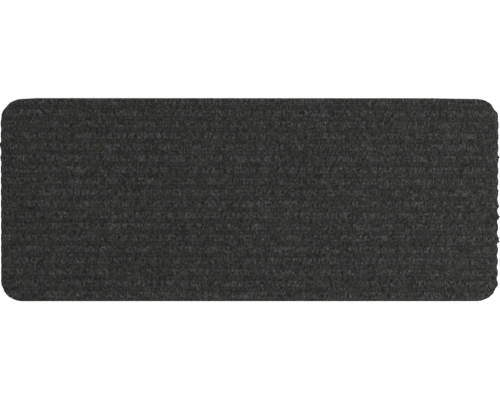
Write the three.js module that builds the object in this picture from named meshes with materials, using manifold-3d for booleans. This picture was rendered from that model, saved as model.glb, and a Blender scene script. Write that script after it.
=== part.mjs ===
import * as THREE from "three";
import { mergeVertices, toCreasedNormals } from "three/addons/utils/BufferGeometryUtils.js";
import Module from "manifold-3d";

// A stair tread mat of ribbed needle felt, cut in one piece from a wide roll.
// X runs along the ribs, Y points to the back of the tread, and Z points up.
// The origin is the middle of the flat underside. All sizes are in millimetres.

// The cut mat
const matLength = 650;
const matDepth = 265;

// The radius of each corner
const leftFrontRadius = 27;
const rightFrontRadius = 28;
const leftBackRadius = 29;
const rightBackRadius = 28.8;

// The right back corner is cut a little flat: how deep, and which way its flat faces
const cornerFlatDepth = 1;
const cornerFlatDegrees = 34;

// Each end is cut a little out of square, so that the front edge is the shorter one
const leftEndLean = 0.95;
const rightEndLean = 1.25;

// How far each rib ends in a tuft past the groove beside it, at the back of the mat and at its
// front. At the left front corner the grooves stand out instead.
const leftTuftStand = { back: 0.4, front: -0.4 };
const rightTuftStand = { back: 0.1, front: 1.1 };

// The back edge falls away a little on its last stretch towards each corner
const backEdgeFall = 1.1;
const leftFallLength = 47;
const rightFallLength = 95;

// The cutting press rounds the upper edge
const edgeRound = 1.2;

// The felt, from its flat underside to the groove floor, and from there to the rib
const grooveThickness = 4.4;
const ribHeight = 2.6;

// The ribs, where the width is taken at half their height
const ribPitch = 14.8;
const ribWidth = 9.4;
const flankWidth = 3;
const firstRibInset = 4.9;

// The ribs aren't quite square to the cut: they come forward a little towards the right end
const ribSkewDegrees = 0.18;

// The needles work in rows, two along each rib and one along each groove
const rowsPerPitch = 3;
const rowRelief = 0.7;

// How finely the section and the outline are divided
const stepsPerPitch = 12;
const stepsPerCorner = 18;
const stepsPerEdgeRound = 3;

// Faces that meet at more than this many degrees show a crisp edge between them
const creaseAngle = 40;

// How far the uncut felt, and the block that trims it, reach past the finished mat
const trimAllowance = 6;
const lidClearance = 0.3;

const wasm = await Module();
wasm.setup();

const ribSkew = THREE.MathUtils.degToRad(ribSkewDegrees);

// The distance from the middle line of the nearest rib, measured across the ribs
function distanceFromRib(across) {
  const pitches = (matDepth / 2 - firstRibInset - across) / ribPitch;
  return ribPitch * Math.abs(pitches - Math.round(pitches));
}

// The thickness of the felt, which follows the ribs and the needle rows
function feltThickness(across) {
  const distance = distanceFromRib(across);
  const flankStart = (ribWidth - flankWidth) / 2;
  const flankEnd = (ribWidth + flankWidth) / 2;
  const rib = ribHeight * (1 - THREE.MathUtils.smoothstep(distance, flankStart, flankEnd));
  const rowTurn = (2 * Math.PI * rowsPerPitch * distance) / ribPitch;
  const rowDip = (rowRelief * (1 + Math.cos(rowTurn))) / 2;
  return grooveThickness + rib - rowDip;
}

// The radius of the nearest corner at the right end (side 1) or the left one (side -1)
function cornerRadius(side, y) {
  if (y > 0) return side > 0 ? rightBackRadius : leftBackRadius;
  return side > 0 ? rightFrontRadius : leftFrontRadius;
}

// How far that end lies inside the full length here. The tufts fade out within the corners.
function endSetback(side, y) {
  const lean = side > 0 ? rightEndLean : leftEndLean;
  const tuftStand = side > 0 ? rightTuftStand : leftTuftStand;
  const across = y * Math.cos(ribSkew) + (side * matLength * Math.sin(ribSkew)) / 2;
  const grooveShare = (1 - Math.cos((2 * Math.PI * distanceFromRib(across)) / ribPitch)) / 2;
  const frontShare = 0.5 - y / matDepth;
  const stand = THREE.MathUtils.lerp(tuftStand.back, tuftStand.front, frontShare);
  const toEdge = matDepth / 2 - Math.abs(y);
  const straightShare = THREE.MathUtils.clamp((2 * toEdge) / cornerRadius(side, y) - 1, 0, 1);
  return stand * grooveShare * straightShare + lean * frontShare;
}

// A closed geometry as a solid that can be cut
function solidFrom(geometry) {
  geometry.deleteAttribute("normal");
  geometry.deleteAttribute("uv");
  const merged = mergeVertices(geometry);
  const mesh = new wasm.Mesh({
    numProp: 3,
    vertProperties: new Float32Array(merged.attributes.position.array),
    triVerts: new Uint32Array(merged.index.array),
  });
  return new wasm.Manifold(mesh);
}

// A solid as a geometry for a mesh, smooth over the ribs and crisp at the cut edge
function geometryFrom(solid) {
  const mesh = solid.getMesh();
  const geometry = new THREE.BufferGeometry();
  geometry.setAttribute("position", new THREE.BufferAttribute(mesh.vertProperties, 3));
  geometry.setIndex(new THREE.BufferAttribute(mesh.triVerts, 1));
  return toCreasedNormals(geometry, THREE.MathUtils.degToRad(creaseAngle));
}

// The ribbed felt before it is cut: its section, drawn from front to back, runs along the ribs
function ribbedFelt() {
  const reach = matDepth / 2 + trimAllowance;
  const step = ribPitch / stepsPerPitch;
  const firstRib = matDepth / 2 - firstRibInset;
  const firstStep = Math.ceil((-reach - firstRib) / step);
  const lastStep = Math.floor((reach - firstRib) / step);
  const section = new THREE.Shape();
  section.moveTo(firstRib + lastStep * step, 0);
  for (let k = lastStep; k >= firstStep; k -= 1) {
    const across = firstRib + k * step;
    section.lineTo(across, feltThickness(across));
  }
  section.lineTo(firstRib + firstStep * step, 0);
  section.closePath();

  const length = matLength + 2 * trimAllowance;
  const felt = new THREE.ExtrudeGeometry(section, { depth: length, bevelEnabled: false });
  const sectionToMat = new THREE.Matrix4().makeBasis(
    new THREE.Vector3(0, 1, 0),
    new THREE.Vector3(0, 0, 1),
    new THREE.Vector3(1, 0, 0),
  );
  felt.applyMatrix4(sectionToMat);
  felt.translate(-length / 2, 0, 0);
  felt.rotateZ(-ribSkew);
  return felt;
}

// Half the outline: one end, from the front edge over both corners to the straight back edge.
// In the corner that has a flat, the outline keeps inside both the arc and the flat.
function endPoints(side) {
  const points = [];
  const addPoint = (x, y) => points.push(new THREE.Vector2(side * (x - endSetback(side, y)), y));
  const addCorner = (radius, centreY, startAngle, hasFlat) => {
    for (let k = 0; k <= stepsPerCorner; k += 1) {
      const angle = startAngle + (k / stepsPerCorner) * (Math.PI / 2);
      const fromFlat = angle - THREE.MathUtils.degToRad(cornerFlatDegrees);
      const flatReach = (radius - cornerFlatDepth) / Math.cos(fromFlat);
      const reach = hasFlat ? Math.min(radius, flatReach) : radius;
      const x = matLength / 2 - radius + reach * Math.cos(angle);
      addPoint(x, centreY + reach * Math.sin(angle));
    }
  };
  const frontRadius = cornerRadius(side, -matDepth / 2);
  const backRadius = cornerRadius(side, matDepth / 2);
  const frontY = -matDepth / 2 + frontRadius;
  const backY = matDepth / 2 - backEdgeFall - backRadius;
  const straightSteps = Math.ceil((backY - frontY) / (ribPitch / stepsPerPitch));

  addCorner(frontRadius, frontY, -Math.PI / 2, false);
  for (let k = 1; k < straightSteps; k += 1) {
    addPoint(matLength / 2, frontY + (k / straightSteps) * (backY - frontY));
  }
  addCorner(backRadius, backY, 0, side > 0);
  const fallLength = side > 0 ? rightFallLength : leftFallLength;
  points.push(new THREE.Vector2(side * (matLength / 2 - fallLength), matDepth / 2));
  return points;
}

// The block that trims the felt: the outline of the mat, with its upper edge rounded
function trimmingBlock() {
  const outline = new THREE.Shape([...endPoints(1), ...endPoints(-1).reverse()]);
  const height = grooveThickness + ribHeight + trimAllowance;
  const block = new THREE.ExtrudeGeometry(outline, {
    depth: height,
    bevelThickness: edgeRound,
    bevelSize: edgeRound,
    bevelOffset: -edgeRound,
    bevelSegments: stepsPerEdgeRound,
  });
  const lid = grooveThickness + ribHeight + lidClearance;
  block.translate(0, 0, lid - edgeRound - height);
  return block;
}

// The mat is the felt that lies inside the trimming block
function treadMat(material) {
  const felt = solidFrom(ribbedFelt());
  const block = solidFrom(trimmingBlock());
  const mat = new THREE.Mesh(geometryFrom(felt.intersect(block)), material);
  mat.name = "tread_mat";
  return mat;
}

const charcoalFelt = new THREE.MeshStandardMaterial({
  color: 0x343433,
  roughness: 1,
  metalness: 0,
});

const stairTreadMat = new THREE.Group();
stairTreadMat.add(treadMat(charcoalFelt));

export default stairTreadMat;
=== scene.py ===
import math

import bpy
import numpy as np
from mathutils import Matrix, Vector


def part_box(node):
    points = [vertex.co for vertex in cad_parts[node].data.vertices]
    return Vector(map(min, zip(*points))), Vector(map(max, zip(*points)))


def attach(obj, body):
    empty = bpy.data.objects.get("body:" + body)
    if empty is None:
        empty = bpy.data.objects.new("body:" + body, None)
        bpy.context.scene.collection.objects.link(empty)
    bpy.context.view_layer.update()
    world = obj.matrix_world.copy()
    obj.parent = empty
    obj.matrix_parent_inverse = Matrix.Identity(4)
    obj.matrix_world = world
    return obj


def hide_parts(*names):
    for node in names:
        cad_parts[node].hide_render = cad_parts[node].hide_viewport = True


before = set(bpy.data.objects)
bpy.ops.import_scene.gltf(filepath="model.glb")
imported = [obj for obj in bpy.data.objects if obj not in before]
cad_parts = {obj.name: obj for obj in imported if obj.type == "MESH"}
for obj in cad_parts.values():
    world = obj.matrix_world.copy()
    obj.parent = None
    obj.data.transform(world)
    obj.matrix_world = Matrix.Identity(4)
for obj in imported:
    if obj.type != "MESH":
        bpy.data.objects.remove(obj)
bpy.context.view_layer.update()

bpy.ops.object.select_all(action="DESELECT")


# Camera
# The photograph looks straight down on the mat, which fills the width of its frame. The mat's
# middle lies a little to the left of the frame's middle, and a little above it.

low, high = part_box("tread_mat")
mat_length = high.x - low.x
mat_depth = high.y - low.y
mat_top = high.z

frame_width_px = 500
frame_height_px = 400
mat_width_px = 499.0
mat_middle_px = (249.7, 199.7)
metres_per_px = mat_length / mat_width_px

lens_mm = 90
sensor_mm = 36
camera_distance = frame_width_px * metres_per_px * lens_mm / sensor_mm
camera_place = (
    (frame_width_px / 2 - mat_middle_px[0]) * metres_per_px,
    (mat_middle_px[1] - frame_height_px / 2) * metres_per_px,
    mat_top + camera_distance,
)
bpy.ops.object.camera_add(location=camera_place, rotation=(0, 0, 0))
camera = bpy.context.object
camera.data.lens = lens_mm
camera.data.sensor_width = sensor_mm
bpy.context.scene.camera = camera


# Floor
# A plain pale floor. The camera sees it as white, and it still takes the mat's faint shadow.

floor_width = 8
floor_grey = 0.4
floor_glow = 0.8

bpy.ops.mesh.primitive_plane_add(size=floor_width, location=(0, 0, 0))
floor = bpy.context.object
floor.name = "floor"
floor_paint = bpy.data.materials.new("white_floor")
floor_paint.use_nodes = True
nodes, links = floor_paint.node_tree.nodes, floor_paint.node_tree.links
paint = nodes["Principled BSDF"]
paint.inputs["Base Color"].default_value = (floor_grey, floor_grey, floor_grey, 1)
paint.inputs["Roughness"].default_value = 0.9
paint.inputs["Specular IOR Level"].default_value = 0
paint.inputs["Emission Color"].default_value = (1, 1, 1, 1)
rays = nodes.new("ShaderNodeLightPath")
seen = nodes.new("ShaderNodeMath")
seen.operation = "MAXIMUM"
links.new(rays.outputs["Is Camera Ray"], seen.inputs[0])
links.new(rays.outputs["Is Glossy Ray"], seen.inputs[1])
glow = nodes.new("ShaderNodeMath")
glow.operation = "MULTIPLY"
glow.inputs[1].default_value = floor_glow
links.new(seen.outputs[0], glow.inputs[0])
links.new(glow.outputs[0], paint.inputs["Emission Strength"])
floor.data.materials.append(floor_paint)


# Light
# An even white surround, and one broad soft lamp to the right of the mat and a little in front
# of it, which leaves the back side of each rib a touch darker than its front side.

surround_strength = 0.7
lamp_watts = 6.4
lamp_width = 0.6
lamp_place = (1.1, -0.15, 0.75)

world = bpy.data.worlds.new("white_surround")
world.use_nodes = True
bpy.context.scene.world = world
nodes, links = world.node_tree.nodes, world.node_tree.links
surround = nodes["Background"]
surround.inputs["Color"].default_value = (1, 1, 1, 1)
rays = nodes.new("ShaderNodeLightPath")
seen = nodes.new("ShaderNodeMath")
seen.operation = "MAXIMUM"
links.new(rays.outputs["Is Camera Ray"], seen.inputs[0])
links.new(rays.outputs["Is Glossy Ray"], seen.inputs[1])
strength = nodes.new("ShaderNodeMapRange")
strength.inputs["To Min"].default_value = surround_strength
strength.inputs["To Max"].default_value = 1
links.new(seen.outputs[0], strength.inputs["Value"])
links.new(strength.outputs["Result"], surround.inputs["Strength"])

bpy.ops.object.light_add(type="AREA", location=lamp_place)
lamp = bpy.context.object
lamp.data.shape = "DISK"
lamp.data.size = lamp_width
lamp.data.energy = lamp_watts
lamp_reach = math.hypot(lamp_place[0], lamp_place[1])
lamp.rotation_euler = (
    math.atan2(lamp_reach, lamp_place[2]),
    0,
    math.atan2(lamp_place[0], -lamp_place[1]),
)
bpy.context.scene.view_settings.view_transform = "Standard"


# Felt
# The mat is one sheet of needle felt: dyed fibres driven into ribs by rows of barbed needles,
# then cut to a rectangle with rounded corners by a press, which crushes the upper edge.

groove_thickness = 0.0044
rib_height = mat_top - groove_thickness
rib_pitch = 0.0148
rib_width = 0.0094
flank_width = 0.003
first_rib_inset = 0.0049
first_rib = mat_depth / 2 - first_rib_inset
rib_skew = math.radians(0.18)
rows_per_pitch = 3
row_pitch = rib_pitch / rows_per_pitch
row_relief = 0.0007

# The cut has four round corners and a crushed upper edge. The right back corner also has a small
# flat: how deep, and which way it faces.
left_front_radius = 0.027
right_front_radius = 0.028
left_back_radius = 0.029
right_back_radius = 0.0288
corner_flat_depth = 0.001
corner_flat_facing = math.radians(34)
edge_round = 0.0011

# Each end leans in towards the front. Its ribs stand out past the grooves by the first number at
# the back of the mat, and by the second at the front.
left_end_lean = 0.00095
right_end_lean = 0.00125
left_tuft_stand = (0.0004, -0.0004)
right_tuft_stand = (0.0001, 0.0011)

# The back edge falls away over its last stretch towards each corner
back_edge_fall = 0.0011
left_fall_length = 0.047
right_fall_length = 0.095

# Here and there the press missed a pointed tuft at the right (1) or left (-1) end: where along
# that end it is, how far it stands out and half its width
missed_tufts = (
    (1, 0.1130, 0.0009, 0.0032),
    (1, 0.0554, 0.0021, 0.0026),
    (1, 0.0120, 0.0010, 0.0022),
    (1, -0.0085, 0.0021, 0.0026),
    (1, -0.0226, 0.0024, 0.0036),
    (1, -0.0504, 0.0020, 0.0020),
    (1, -0.0546, 0.0030, 0.0028),
    (1, -0.1112, 0.0012, 0.0036),
    (-1, 0.0720, 0.0017, 0.0050),
    (-1, 0.0550, 0.0009, 0.0028),
)

# The right end was pressed harder, and the felt thins towards it
thin_end_reach = 0.0075
thin_end_drop = 0.0013

# One push of a needle leaves a loop of felt this wide. The tallest loop stands this much above
# the lowest, and a loop at this share of that height is level with the felt. The table has more
# rows, and more loops in a row, than the mat.
loop_width = 0.0026
loop_relief = 0.0008
level_loop = 0.75
loop_seed = 7
loop_table_size = (97, 389)
loop_table = np.random.default_rng(loop_seed).random(loop_table_size)


def along_ribs(x, y):
    """How far a place lies to the right of the mat's middle, along the ribs."""
    return x * math.cos(rib_skew) - y * math.sin(rib_skew)


def past_first_rib(x, y):
    """How far a place lies in front of the middle of the first rib, across the ribs."""
    return first_rib - y * math.cos(rib_skew) - x * math.sin(rib_skew)


def from_rib(x, y):
    """The distance from a place to the middle line of the nearest rib."""
    pitches = past_first_rib(x, y) / rib_pitch
    return rib_pitch * np.abs(pitches - np.round(pitches))


def loop_height(x, y):
    """How high the nearest loops of a needle row stand, from 0 to 1, along that row."""
    rows, loops = loop_table.shape
    row = np.floor(past_first_rib(x, y) / row_pitch).astype(int) % rows
    start = loop_table[row, 0] * loop_width
    along = (along_ribs(x, y) + mat_length + start) / loop_width
    loop = np.floor(along).astype(int)
    part = along - loop
    part = part * part * (3 - 2 * part)
    one = loop_table[row, loop % loops]
    next_one = loop_table[row, (loop + 1) % loops]
    return one + (next_one - one) * part


def felt_top(x, y):
    """The height of the felt, away from its cut edge."""
    distance = from_rib(x, y)
    share = np.clip((distance - (rib_width - flank_width) / 2) / flank_width, 0, 1)
    rib = rib_height * (1 - share * share * (3 - 2 * share))
    crest = (1 - np.cos(2 * np.pi * past_first_rib(x, y) / row_pitch)) / 2
    loops = crest * loop_relief * (loop_height(x, y) - level_loop)
    thinning = np.clip(1 + (x - mat_length / 2) / thin_end_reach, 0, 1) ** 2
    height = groove_thickness + rib - row_relief * (1 - crest) + loops
    return height - thin_end_drop * thinning


def corner_radius(side, y):
    """The radius of the nearest corner, at the left (-1) or right (1) end."""
    front = np.where(side > 0, right_front_radius, left_front_radius)
    back = np.where(side > 0, right_back_radius, left_back_radius)
    return np.where(y > 0, back, front)


def end_setback(side, y):
    """How far the left (-1) or right (1) end of the mat lies inside its full length."""
    front_share = 0.5 - y / mat_depth
    to_edge = mat_depth / 2 - np.abs(y)
    straight_share = np.clip(2 * to_edge / corner_radius(side, y) - 1, 0, 1)
    from_tuft = from_rib(side * mat_length / 2, y)
    groove_share = (1 - np.cos(2 * np.pi * from_tuft / rib_pitch)) / 2
    back_stand = np.where(side > 0, right_tuft_stand[0], left_tuft_stand[0])
    front_stand = np.where(side > 0, right_tuft_stand[1], left_tuft_stand[1])
    tuft_stand = back_stand + (front_stand - back_stand) * front_share
    lean = np.where(side > 0, right_end_lean, left_end_lean)
    setback = tuft_stand * groove_share * straight_share + lean * front_share
    for end, tuft_y, tuft_reach, half_width in missed_tufts:
        point = np.clip(1 - np.abs(y - tuft_y) / half_width, 0, 1)
        setback = setback - np.where(side == end, tuft_reach * point, 0)
    return setback


def edge_fall(x, y):
    """How far the back edge falls away here, towards its corners."""
    fall_length = np.where(x > 0, right_fall_length, left_fall_length)
    into_fall = fall_length - mat_length / 2 + np.abs(x)
    share = np.clip(into_fall / (fall_length - corner_radius(x, y)), 0, 1)
    return np.where(y > 0, back_edge_fall * share, 0)


def inside_cut(x, y):
    """The distance from a place on the mat to its cut edge, negative outside it."""
    radius = corner_radius(x, y)
    out_x = np.abs(x) + end_setback(np.sign(x), y) - mat_length / 2 + radius
    out_y = np.abs(y) + edge_fall(x, y) - mat_depth / 2 + radius
    straight = radius - np.maximum(out_x, out_y)
    rounded = radius - np.hypot(out_x, out_y)
    inside = np.where((out_x > 0) & (out_y > 0), rounded, straight)
    facing = out_x * math.cos(corner_flat_facing) + out_y * math.sin(corner_flat_facing)
    inside_flat = np.minimum(inside, radius - corner_flat_depth - facing)
    return np.where((x > 0) & (y > 0), inside_flat, inside)


def edge_drop(distance):
    """How far the crushed upper edge lies below the felt at this distance from the cut."""
    short = edge_round - np.clip(distance, 0, edge_round)
    return edge_round - np.sqrt(edge_round**2 - short**2)


# Rows of the grid run along the ribs. They are set by the angle in the right corners, so that
# the corners come out round, and evenly between them. The outermost columns keep these distances
# from the end.
corner_rows = 26
rows_per_rib = 12
columns = 384
edge_columns = (0, 0.00025, 0.0006, edge_round)

turn = np.linspace(0, math.pi / 2, corner_rows, endpoint=False)
front_flat = -mat_depth / 2 + right_front_radius
back_flat = mat_depth / 2 - back_edge_fall - right_back_radius
front_rows = front_flat - right_front_radius * np.cos(turn)
back_rows = back_flat + right_back_radius * np.cos(turn[::-1])
flat_row_count = round((back_flat - front_flat) / rib_pitch * rows_per_rib)
flat_rows = np.linspace(front_flat, back_flat, flat_row_count)
row_y = np.concatenate([front_rows, flat_rows, back_rows])


def end_x(side, y):
    """How far the mat reaches to the left (-1) or right (1) at this place across it."""
    radius = corner_radius(side, y)
    edge = mat_depth / 2 - np.where(y > 0, back_edge_fall, 0)
    up = np.clip((np.abs(y) - edge + radius) / radius, 0, 1)
    out = radius * np.sqrt(1 - up**2)
    flat_reach = radius - corner_flat_depth - up * radius * math.sin(corner_flat_facing)
    flat_out = flat_reach / math.cos(corner_flat_facing)
    out = np.where((side > 0) & (y > 0), np.minimum(out, flat_out), out)
    return mat_length / 2 - radius + out - end_setback(side, y)


# The grid starts as a square, in which the place of a point tells its column and its row
bpy.ops.mesh.primitive_grid_add(
    x_subdivisions=columns - 1, y_subdivisions=len(row_y) - 1, size=1
)
felt = bpy.context.object
felt.name = "felt_mat"
grid = np.zeros(len(felt.data.vertices) * 3)
felt.data.vertices.foreach_get("co", grid)
grid = grid.reshape(-1, 3)
column_of = np.rint((grid[:, 0] + 0.5) * (columns - 1)).astype(int)
row_of = np.rint((grid[:, 1] + 0.5) * (len(row_y) - 1)).astype(int)
grid[:, 1] = row_y[row_of]
from_end = np.minimum(column_of, columns - 1 - column_of)
side = np.sign(column_of - (columns - 1) / 2)
half = end_x(side, grid[:, 1])
inner_columns = len(edge_columns) - 1
even = 1 - 2 * (from_end - inner_columns) / (columns - 1 - 2 * inner_columns)
near_edge = np.array(edge_columns)[np.minimum(from_end, inner_columns)]
reach = np.where(
    from_end < inner_columns, half - near_edge, even * (half - edge_columns[-1])
)
grid[:, 0] = reach * side

# Where the back edge hasn't fallen away, the rows nearest to it move out to it
near_back = np.clip(1 + (grid[:, 1] - row_y[-1]) / rib_width, 0, 1)
grid[:, 1] += near_back * (back_edge_fall - edge_fall(grid[:, 0], grid[:, 1]))

to_cut = np.maximum(inside_cut(grid[:, 0], grid[:, 1]), 0)
on_border = (from_end == 0) | (row_of == 0) | (row_of == len(row_y) - 1)
to_cut[on_border] = 0
grid[:, 2] = felt_top(grid[:, 0], grid[:, 1]) - edge_drop(to_cut)
felt.data.vertices.foreach_set("co", grid.ravel())
felt.data.update()

# The cut sides go down to the underside in a few rings, each at this share of the height of the
# one above it, and one flat face closes it. Faces that meet at more than the crease angle show a
# crisp edge between them.
side_rings = (0.8, 0.72, 0.6, 0)
crease_angle = math.radians(50)
bpy.ops.object.mode_set(mode="EDIT")
bpy.ops.mesh.select_mode(type="EDGE")
bpy.ops.mesh.select_all(action="DESELECT")
bpy.ops.mesh.select_non_manifold()
for share in side_rings:
    bpy.ops.mesh.extrude_region_move()
    bpy.ops.transform.resize(value=(1, 1, share), center_override=(0, 0, 0))
bpy.ops.mesh.edge_face_add()
bpy.ops.mesh.select_all(action="SELECT")
bpy.ops.mesh.normals_make_consistent(inside=False)
bpy.ops.object.mode_set(mode="OBJECT")
bpy.ops.object.shade_smooth_by_angle(angle=crease_angle)

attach(felt, "root")
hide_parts("tread_mat")

# The shades of the dyed fibres that the felt is blended from, darkest first
felt_shades = (
    (0.00, (0.0080, 0.0080, 0.0073)),
    (0.20, (0.0180, 0.0180, 0.0169)),
    (0.50, (0.0330, 0.0330, 0.0323)),
    (0.80, (0.0500, 0.0500, 0.0509)),
    (0.93, (0.0690, 0.0690, 0.0719)),
    (1.00, (0.1090, 0.1090, 0.1160)),
)

# The blend isn't even: patches this wide come out lighter or darker
light_patch = 0.018
light_patch_swing = 0.6
light_mean = 0.973

# Smaller patches lean to brown or to green, and to violet or to olive. The tint is that of a
# patch which leans all the way to green and to olive, and each swing is what is added to it on
# the way to brown and to violet.
tint_patch = 0.009
green_olive_tint = (0.895, 1.015, 0.633)
brown_swing = (0.14, -0.03, 0)
violet_swing = (0.07, 0, 0.60)

# Where two needle rows meet the felt dips, and the shade that falls in these dips is painted
# into the colour as a darker line
painted_row_dip_shade = 0.055


def colour_ramp(nodes, shades):
    """A ramp through these shades, each of which is given with its place from 0 to 1."""
    ramp_node = nodes.new("ShaderNodeValToRGB")
    ramp = ramp_node.color_ramp
    ramp.elements[0].position, ramp.elements[1].position = shades[0][0], shades[-1][0]
    ramp.elements[0].color = (*shades[0][1], 1)
    ramp.elements[1].color = (*shades[-1][1], 1)
    for stop, shade in shades[1:-1]:
        ramp.elements.new(stop).color = (*shade, 1)
    return ramp_node


def uneven_blend(nodes, links, place, colour):
    """Takes a colour through the patches of the blend and the painted shade in the dips between
    needle rows.
    """
    # The patches that lean to a hue
    tint = nodes.new("ShaderNodeTexNoise")
    tint.inputs["Scale"].default_value = 1 / tint_patch
    tint.inputs["Detail"].default_value = 1
    links.new(place, tint.inputs["Vector"])
    leans = nodes.new("ShaderNodeSeparateColor")
    links.new(tint.outputs["Color"], leans.inputs["Color"])
    brown = nodes.new("ShaderNodeVectorMath")
    brown.operation = "SCALE"
    brown.inputs[0].default_value = brown_swing
    links.new(leans.outputs["Red"], brown.inputs["Scale"])
    violet = nodes.new("ShaderNodeVectorMath")
    violet.operation = "SCALE"
    violet.inputs[0].default_value = violet_swing
    links.new(leans.outputs["Blue"], violet.inputs["Scale"])
    both_leans = nodes.new("ShaderNodeVectorMath")
    both_leans.operation = "ADD"
    links.new(brown.outputs["Vector"], both_leans.inputs[0])
    links.new(violet.outputs["Vector"], both_leans.inputs[1])
    tinge = nodes.new("ShaderNodeVectorMath")
    tinge.operation = "ADD"
    tinge.inputs[1].default_value = green_olive_tint
    links.new(both_leans.outputs["Vector"], tinge.inputs[0])

    # The lighter and darker patches
    light = nodes.new("ShaderNodeTexNoise")
    light.inputs["Scale"].default_value = 1 / light_patch
    light.inputs["Detail"].default_value = 2
    links.new(place, light.inputs["Vector"])
    lightness = nodes.new("ShaderNodeMath")
    lightness.operation = "MULTIPLY_ADD"
    lightness.inputs[1].default_value = light_patch_swing
    lightness.inputs[2].default_value = light_mean - light_patch_swing / 2
    links.new(light.outputs["Fac"], lightness.inputs[0])

    # The painted shade in the dips between needle rows, one dark line to each needle row
    rows_across = nodes.new("ShaderNodeVectorMath")
    rows_across.operation = "DOT_PRODUCT"
    turns = 2 * math.pi / row_pitch
    rows_across.inputs[1].default_value = (
        turns * math.sin(rib_skew), turns * math.cos(rib_skew), 0
    )
    links.new(place, rows_across.inputs[0])
    row_turn = nodes.new("ShaderNodeMath")
    row_turn.operation = "SUBTRACT"
    row_turn.inputs[1].default_value = turns * first_rib
    links.new(rows_across.outputs["Value"], row_turn.inputs[0])
    near_row_dips = nodes.new("ShaderNodeMath")
    near_row_dips.operation = "COSINE"
    links.new(row_turn.outputs["Value"], near_row_dips.inputs[0])
    shaded = nodes.new("ShaderNodeMath")
    shaded.operation = "MULTIPLY_ADD"
    shaded.inputs[1].default_value = -painted_row_dip_shade
    links.new(near_row_dips.outputs["Value"], shaded.inputs[0])
    links.new(lightness.outputs["Value"], shaded.inputs[2])

    # The colour, tinted, and darkened by the patches and by the painted shade of the row dips
    tinted = nodes.new("ShaderNodeVectorMath")
    tinted.operation = "MULTIPLY"
    links.new(colour, tinted.inputs[0])
    links.new(tinge.outputs["Vector"], tinted.inputs[1])
    lit = nodes.new("ShaderNodeVectorMath")
    lit.operation = "SCALE"
    links.new(tinted.outputs["Vector"], lit.inputs[0])
    links.new(shaded.outputs["Value"], lit.inputs["Scale"])
    return lit.outputs["Vector"]


heather = bpy.data.materials.new("heathered_felt")
heather.use_nodes = True
nodes, links = heather.node_tree.nodes, heather.node_tree.links
surface = nodes["Principled BSDF"]
surface.inputs["Roughness"].default_value = 0.95
surface.inputs["Specular IOR Level"].default_value = 0.2
surface.inputs["Sheen Weight"].default_value = 0.06
surface.inputs["Sheen Roughness"].default_value = 0.6

# Tufts of one dyed shade show as short flecks that run across the ribs, with ragged outlines
fleck_width = 0.0011
fleck_length = 0.0034
fleck_rag = 1.0
rags_per_fleck = 2
place = nodes.new("ShaderNodeTexCoord")
stretch = nodes.new("ShaderNodeMapping")
stretch.inputs["Scale"].default_value = (1 / fleck_width, 1 / fleck_length, 1 / fleck_width)
links.new(place.outputs["Object"], stretch.inputs["Vector"])
rag = nodes.new("ShaderNodeTexNoise")
rag.inputs["Scale"].default_value = rags_per_fleck
rag.inputs["Detail"].default_value = 4
links.new(stretch.outputs["Vector"], rag.inputs["Vector"])
ragged = nodes.new("ShaderNodeVectorMath")
ragged.operation = "MULTIPLY_ADD"
ragged.inputs[1].default_value = (fleck_rag, fleck_rag, fleck_rag)
links.new(rag.outputs["Color"], ragged.inputs[0])
links.new(stretch.outputs["Vector"], ragged.inputs[2])
flecks = nodes.new("ShaderNodeTexVoronoi")
flecks.inputs["Scale"].default_value = 1
links.new(ragged.outputs["Vector"], flecks.inputs["Vector"])
pick = nodes.new("ShaderNodeSeparateColor")
links.new(flecks.outputs["Color"], pick.inputs["Color"])

# Single fibres show as fine streaks within the flecks
streak_width = 0.00035
streak_length = 0.0024
grain_swing = 1.8
streak_place = nodes.new("ShaderNodeMapping")
streak_place.inputs["Scale"].default_value = (
    1 / streak_width, 1 / streak_length, 1 / streak_width
)
links.new(place.outputs["Object"], streak_place.inputs["Vector"])
fibre_grain = nodes.new("ShaderNodeTexNoise")
fibre_grain.inputs["Scale"].default_value = 1
fibre_grain.inputs["Detail"].default_value = 2
links.new(streak_place.outputs["Vector"], fibre_grain.inputs["Vector"])
grained = nodes.new("ShaderNodeMath")
grained.operation = "MULTIPLY_ADD"
grained.inputs[1].default_value = grain_swing
links.new(fibre_grain.outputs["Fac"], grained.inputs[0])
centred = nodes.new("ShaderNodeMath")
centred.operation = "SUBTRACT"
centred.inputs[1].default_value = grain_swing / 2
links.new(pick.outputs["Red"], centred.inputs[0])
links.new(centred.outputs["Value"], grained.inputs[2])

# In the grooves the needles have mixed the shades more evenly
groove_contrast = 0.75
rib_contrast = 0.97
middle_shade = 0.5
height = nodes.new("ShaderNodeSeparateXYZ")
links.new(place.outputs["Object"], height.inputs["Vector"])
on_rib = nodes.new("ShaderNodeMapRange")
on_rib.inputs["From Min"].default_value = groove_thickness
on_rib.inputs["From Max"].default_value = mat_top - loop_relief
on_rib.inputs["To Min"].default_value = groove_contrast
on_rib.inputs["To Max"].default_value = rib_contrast
links.new(height.outputs["Z"], on_rib.inputs["Value"])
contrast = nodes.new("ShaderNodeMix")
contrast.inputs["A"].default_value = middle_shade
links.new(on_rib.outputs["Result"], contrast.inputs["Factor"])
links.new(grained.outputs["Value"], contrast.inputs["B"])
shades = colour_ramp(nodes, felt_shades)
links.new(contrast.outputs["Result"], shades.inputs["Fac"])
blend = uneven_blend(nodes, links, place.outputs["Object"], shades.outputs["Color"])
links.new(blend, surface.inputs["Base Color"])

# The flecks and the fibres in them also stand a little above one another
fleck_relief = 0.0004
felt_bump = nodes.new("ShaderNodeBump")
felt_bump.inputs["Strength"].default_value = 0.5
felt_bump.inputs["Distance"].default_value = fleck_relief
links.new(grained.outputs["Value"], felt_bump.inputs["Height"])
links.new(felt_bump.outputs["Normal"], surface.inputs["Normal"])
felt.data.materials.append(heather)


# Surface fibres
# Loose ends of the dyed fibres arch over the felt. Each tuft of them belongs to one needle row,
# and lies mostly across it. Each fibre's own ends are sunk in the felt.

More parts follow.
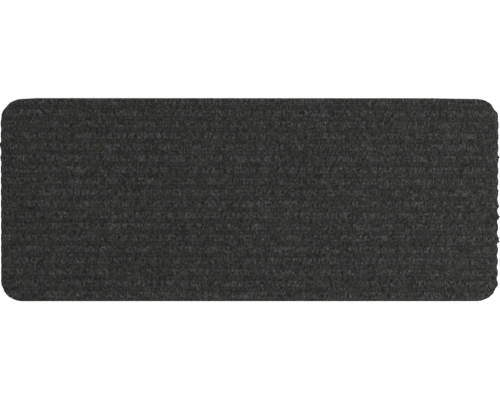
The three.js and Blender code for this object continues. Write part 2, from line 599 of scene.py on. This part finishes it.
fibre_radius = 0.00013
fibre_length = (0.0034, 0.0062)
fibre_lift = (0.00005, 0.0003)
fibre_sink = 0.0002
fibre_bow = 0.0004
fibres_per_strip = 8600
keep_off_edge = 0.0003

# The fibres of a tuft lie close together, in nearly one shade. Tufts lean to either side of the
# way across the ribs, and further in a groove than on a rib. In the grooves only a share of them
# stays loose.
fibres_per_tuft = 3
tuft_spread = 0.0003
off_row = 0.0010
loose_in_grooves = 0.45
rib_lean = math.radians(20)
groove_lean = math.radians(50)
fibre_stray = math.radians(8)
dye_stray = 0.12

# Every fibre is a copy of one three-sided rod, which has four stations: its ends, and a cut at
# each third. Each station has its own share of the fibre's radius, and its own ring on the map.
station_radius = (0.8, 1, 0.9, 0.5)
station_ring = (0.42, 0.32, 0.22, 0.12)
bpy.ops.mesh.primitive_cylinder_add(vertices=3, radius=1, depth=2)
strand = bpy.context.object
bpy.ops.object.mode_set(mode="EDIT")
for cut in (-1 / 3, 1 / 3):
    bpy.ops.mesh.select_all(action="SELECT")
    bpy.ops.mesh.bisect(plane_co=(0, 0, cut), plane_no=(0, 0, 1))
bpy.ops.object.mode_set(mode="OBJECT")
strand_points = np.array([tuple(v.co) for v in strand.data.vertices])
strand_faces = [np.array(f.vertices) for f in strand.data.polygons]
bpy.data.objects.remove(strand)
last_station = len(station_radius) - 1
strand_stations = np.rint((strand_points[:, 2] + 1) / 2 * last_station).astype(int)
strand_taper = np.array(station_radius)[strand_stations]

fibre_shades = (
    (0.00, (0.0030, 0.0030, 0.0028)),
    (0.28, (0.0120, 0.0120, 0.0113)),
    (0.55, (0.0310, 0.0310, 0.0306)),
    (0.82, (0.0740, 0.0740, 0.0767)),
    (1.00, (0.1510, 0.1510, 0.1600)),
)
fibre_dye = bpy.data.materials.new("dyed_fibres")
fibre_dye.use_nodes = True
nodes, links = fibre_dye.node_tree.nodes, fibre_dye.node_tree.links
coat = nodes["Principled BSDF"]
coat.inputs["Roughness"].default_value = 0.7
coat.inputs["Specular IOR Level"].default_value = 0.3
dye = nodes.new("ShaderNodeAttribute")
dye.attribute_name = "dye"
shades = colour_ramp(nodes, fibre_shades)
links.new(dye.outputs["Fac"], shades.inputs["Fac"])
place = nodes.new("ShaderNodeTexCoord")
# The fibres take the same patches, and the same painted shade in the row dips, as the felt
blend = uneven_blend(nodes, links, place.outputs["Object"], shades.outputs["Color"])
links.new(blend, coat.inputs["Base Color"])


def fibre_mesh(name, paths, dyes):
    """One piece of many fibres. paths holds the four stations of each, and dyes its shade."""
    along = paths[:, last_station] - paths[:, 0]
    along /= np.linalg.norm(along, axis=1)[:, None]
    side = np.cross(along, (0, 0, 1))
    side /= np.maximum(np.linalg.norm(side, axis=1), 1e-9)[:, None]
    up = np.cross(side, along)
    radius = fibre_radius * strand_taper
    points = (
        paths[:, strand_stations]
        + (radius * strand_points[:, 0])[None, :, None] * side[:, None]
        + (radius * strand_points[:, 1])[None, :, None] * up[:, None]
    )
    first = np.arange(len(paths))[:, None] * len(strand_points)
    faces = [corner for face in strand_faces for corner in (first + face).tolist()]
    mesh = bpy.data.meshes.new(name)
    mesh.from_pydata(points.reshape(-1, 3).tolist(), [], faces)
    mesh.shade_smooth()
    dye_of = mesh.attributes.new("dye", "FLOAT", "POINT")
    dye_of.data.foreach_set("value", np.repeat(dyes, len(strand_points)).astype(np.float32))

    # Each fibre has a small square of the map to itself, with its rings one inside the next
    squares = math.ceil(math.sqrt(len(paths)))
    fibre = np.arange(len(paths))
    ring = np.array(station_ring)[strand_stations]
    u = (fibre[:, None] % squares + 0.5 + ring * strand_points[:, 0]) / squares
    v = (fibre[:, None] // squares + 0.5 + ring * strand_points[:, 1]) / squares
    corner_point = np.zeros(len(mesh.loops), dtype=np.int32)
    mesh.loops.foreach_get("vertex_index", corner_point)
    fibre_map = mesh.uv_layers.new(name="OFBake")
    on_map = np.stack([u.ravel(), v.ravel()], 1)[corner_point]
    fibre_map.uv.foreach_set("vector", on_map.astype(np.float32).ravel())

    fibres = bpy.data.objects.new(name, mesh)
    bpy.context.scene.collection.objects.link(fibres)
    mesh.materials.append(fibre_dye)
    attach(fibres, "root")
    return fibres


def laid_paths(draw, left, right, count):
    """Fibres that lie over the felt in small tufts, at random between two places along X."""
    tufts = math.ceil(count / fibres_per_tuft)
    middle_x = np.zeros(0)
    middle_y = np.zeros(0)
    while len(middle_x) < tufts:
        x = draw.uniform(left, right, count)
        y = draw.uniform(-mat_depth / 2, mat_depth / 2, count)
        past_row = past_first_rib(x, y) % row_pitch - row_pitch / 2
        y = y + past_row + draw.normal(0, off_row, count)
        kept = (from_rib(x, y) < rib_width / 2) | (draw.random(count) < loose_in_grooves)
        kept &= inside_cut(x, y) > 0
        middle_x = np.append(middle_x, x[kept])
        middle_y = np.append(middle_y, y[kept])
    middle_x = middle_x[:tufts].repeat(fibres_per_tuft)[:count]
    middle_y = middle_y[:tufts].repeat(fibres_per_tuft)[:count]
    lean = draw.normal(0, 1, tufts).repeat(fibres_per_tuft)[:count]
    dyes = draw.random(tufts).repeat(fibres_per_tuft)[:count]
    middle_x = middle_x + draw.normal(0, tuft_spread, count)
    middle_y = middle_y + draw.normal(0, tuft_spread, count)
    on_rib = from_rib(middle_x, middle_y) < rib_width / 2
    lean = np.where(on_rib, rib_lean, groove_lean) * lean
    lean = lean + draw.normal(0, fibre_stray, count)
    length = draw.uniform(*fibre_length, count)
    bow = draw.normal(0, fibre_bow, count)
    lift = draw.uniform(*fibre_lift, count)
    dyes = np.clip(dyes + draw.normal(0, dye_stray, count), 0, 1)
    t = np.array([-1, -1 / 3, 1 / 3, 1])[None, :]
    bulge = 1 - t * t
    x = middle_x[:, None] + np.sin(lean)[:, None] * length[:, None] / 2 * t
    y = middle_y[:, None] + np.cos(lean)[:, None] * length[:, None] / 2 * t
    x = x + np.cos(lean)[:, None] * bow[:, None] * bulge
    y = y - np.sin(lean)[:, None] * bow[:, None] * bulge
    to_cut = inside_cut(x, y)
    z = felt_top(x, y) - edge_drop(np.maximum(to_cut, 0))
    z = z + lift[:, None] * bulge - fibre_sink * t * t
    kept = to_cut.min(1) > keep_off_edge
    return np.stack([x, y, z], 2)[kept], dyes[kept]


first_strip_seed = 11
strip_names = ("left_fibres", "left_middle_fibres", "right_middle_fibres", "right_fibres")
for k, name in enumerate(strip_names):
    draw = np.random.default_rng(first_strip_seed + k)
    strip = mat_length / len(strip_names)
    left = -mat_length / 2 + k * strip
    paths, dyes = laid_paths(draw, left, left + strip, fibres_per_strip)
    fibre_mesh(name, paths, dyes)


# Edge fibres
# The press leaves the ends of cut fibres standing a little way out of the sides. They are of the
# same dyed fibres as those on the surface, and are rooted just inside the cut.

edge_fibre_count = 4200
edge_fibre_root = (0.0003, 0.0008)
edge_fibre_reach = (0.0001, 0.0006)
edge_fibre_seed = 21

# A root's level is a share of the height below the crushed edge. Rise and bow are shares of the
# fibre's own length.
edge_fibre_level = (0.15, 0.85)
edge_fibre_stray = math.radians(25)
edge_fibre_rise = 0.2
edge_fibre_bow = 0.12


def standing_paths(draw, x, y, reach):
    """Fibres that start just inside the cut edge and stand out past it by their reach."""
    # The way out is the one in which the distance to the cut falls fastest over a small step
    step = 1e-5
    out_x = inside_cut(x - step, y) - inside_cut(x + step, y)
    out_y = inside_cut(x, y - step) - inside_cut(x, y + step)
    turn = np.arctan2(out_y, out_x) + draw.normal(0, edge_fibre_stray, len(x))
    length = inside_cut(x, y) + reach
    root_z = draw.uniform(*edge_fibre_level, len(x)) * (felt_top(x, y) - edge_round)
    rise = draw.normal(0, edge_fibre_rise, len(x)) * length
    bow = draw.normal(0, edge_fibre_bow, len(x)) * length
    t = np.linspace(0, 1, len(station_radius))[None, :]
    bulge = 4 * t * (1 - t)
    path_x = x[:, None] + np.cos(turn)[:, None] * length[:, None] * t
    path_y = y[:, None] + np.sin(turn)[:, None] * length[:, None] * t
    path_x = path_x - np.sin(turn)[:, None] * bow[:, None] * bulge
    path_y = path_y + np.cos(turn)[:, None] * bow[:, None] * bulge
    path_z = np.maximum(root_z[:, None] + rise[:, None] * t, 2 * fibre_radius)
    return np.stack([path_x, path_y, path_z], 2)


# Places are tried all over the mat and its missed tufts, and those at the depth of a root serve
tries_per_edge_fibre = 200
longest_tuft = max(tuft_reach for end, tuft_y, tuft_reach, half_width in missed_tufts)
furthest = mat_length / 2 + longest_tuft
draw = np.random.default_rng(edge_fibre_seed)
x = draw.uniform(-furthest, furthest, tries_per_edge_fibre * edge_fibre_count)
y = draw.uniform(-mat_depth / 2, mat_depth / 2, len(x))
root_depth = inside_cut(x, y)
at_root = (root_depth > edge_fibre_root[0]) & (root_depth < edge_fibre_root[1])
x = x[at_root][:edge_fibre_count]
y = y[at_root][:edge_fibre_count]
edge_paths = standing_paths(draw, x, y, draw.uniform(*edge_fibre_reach, len(x)))
fibre_mesh("edge_fibres", edge_paths, draw.random(len(edge_paths)))
